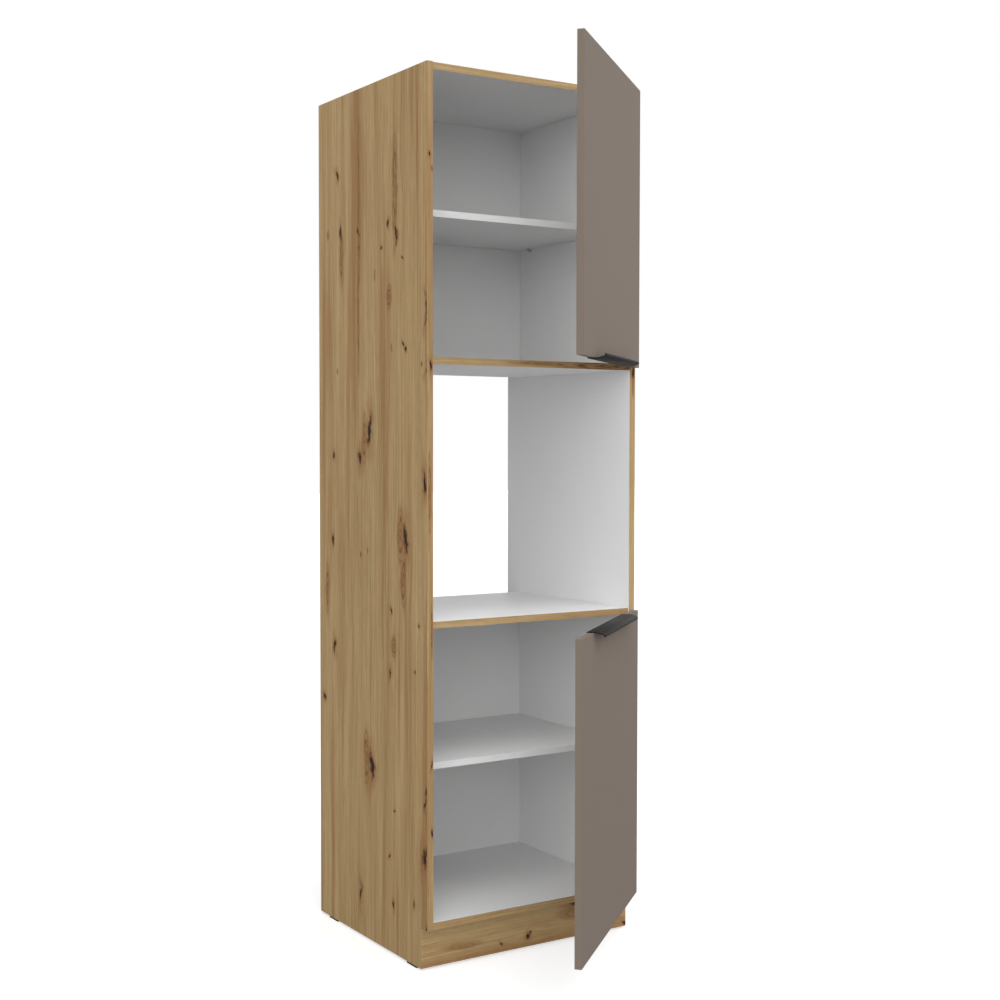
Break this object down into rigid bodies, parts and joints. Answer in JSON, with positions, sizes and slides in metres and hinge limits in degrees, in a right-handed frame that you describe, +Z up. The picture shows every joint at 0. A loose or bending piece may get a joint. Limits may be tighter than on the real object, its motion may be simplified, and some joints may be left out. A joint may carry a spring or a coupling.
{
  "type": "tall oven housing unit",
  "caption": "Tall kitchen cabinet with an open niche for a built-in oven between an upper and a lower door, adjustable shelves, black edge handles and a recessed plinth.",
  "frame": {"origin": "on the floor under the middle of the carcass, at the plane of the glides' undersides", "axes": "+Z up, -Y out of the open front, +X towards the hinge side"},
  "size_m": [0.6025, 0.9621, 2.108],
  "materials": {
    "oak_board": "rustic oak decor on chipboard",
    "oak_band": "rustic oak decor edge band",
    "white_board": "white melamine on chipboard",
    "white_band": "white edge band",
    "taupe_board": "matt taupe lacquer",
    "taupe_band": "matt taupe edge band",
    "black_profile": "matt black anodised",
    "black_screw": "black zinc plated",
    "clear_plastic": "translucent moulded",
    "black_plastic": "moulded",
    "white_plastic": "moulded",
    "beech": "fluted beech",
    "zinc": "zinc die casting",
    "zinc_plated_steel": "zinc plated",
    "nickelled_steel": "nickel plated"
  },
  "bodies": {
    "carcass": {"left_side": "oak_board", "right_side": "oak_board", "left_side_edging": "oak_band", "right_side_edging": "oak_band", "top_panel": "white_board", "oven_top_panel": "white_board", "oven_shelf": "white_board", "bottom_panel": "white_board", "panel_edging": "oak_band", "upper_shelf": "white_board", "lower_shelf": "white_board", "shelf_edging": "white_band", "upper_back": "white_board", "lower_back": "white_board", "back_nails": "nickelled_steel", "plinth": "oak_board", "plinth_brackets": "white_plastic", "plinth_screws": "nickelled_steel", "glides": "black_plastic", "glide_nails": "nickelled_steel", "upper_shelf_supports": "clear_plastic", "lower_shelf_supports": "clear_plastic", "cam_locks": "zinc", "cam_bolts": "nickelled_steel", "dowels": "beech", "wall_brackets": "zinc_plated_steel", "wall_bracket_screws": "nickelled_steel", "upper_hinge_plates": "nickelled_steel", "lower_hinge_plates": "nickelled_steel", "hinge_plate_screws": "nickelled_steel", "upper_hinge_arms": "nickelled_steel", "lower_hinge_arms": "nickelled_steel", "hinge_adjusters": "nickelled_steel"},
    "upper_door": {"upper_door": "taupe_board", "upper_door_edging": "taupe_band", "upper_hinge_cups": "nickelled_steel", "upper_hinge_pins": "nickelled_steel", "upper_cup_screws": "nickelled_steel", "upper_handle": "black_profile", "upper_handle_screws": "black_screw", "upper_door_bumpers": "clear_plastic"},
    "lower_door": {"lower_door": "taupe_board", "lower_door_edging": "taupe_band", "lower_hinge_cups": "nickelled_steel", "lower_hinge_pins": "nickelled_steel", "lower_cup_screws": "nickelled_steel", "lower_handle": "black_profile", "lower_handle_screws": "black_screw", "lower_door_bumpers": "clear_plastic"}
  },
  "joints": [
    {"name": "upper_door_hinge", "type": "hinge", "parent": "carcass", "child": "upper_door", "pos_m": [0.291, -0.29001, 1.765], "axis": [0, 0, 1], "range_deg": [-40.8, 54.2]},
    {"name": "lower_door_hinge", "type": "hinge", "parent": "carcass", "child": "lower_door", "pos_m": [0.291, -0.29001, 0.4595], "axis": [0, 0, 1], "range_deg": [-40.8, 54.2]}
  ]
}
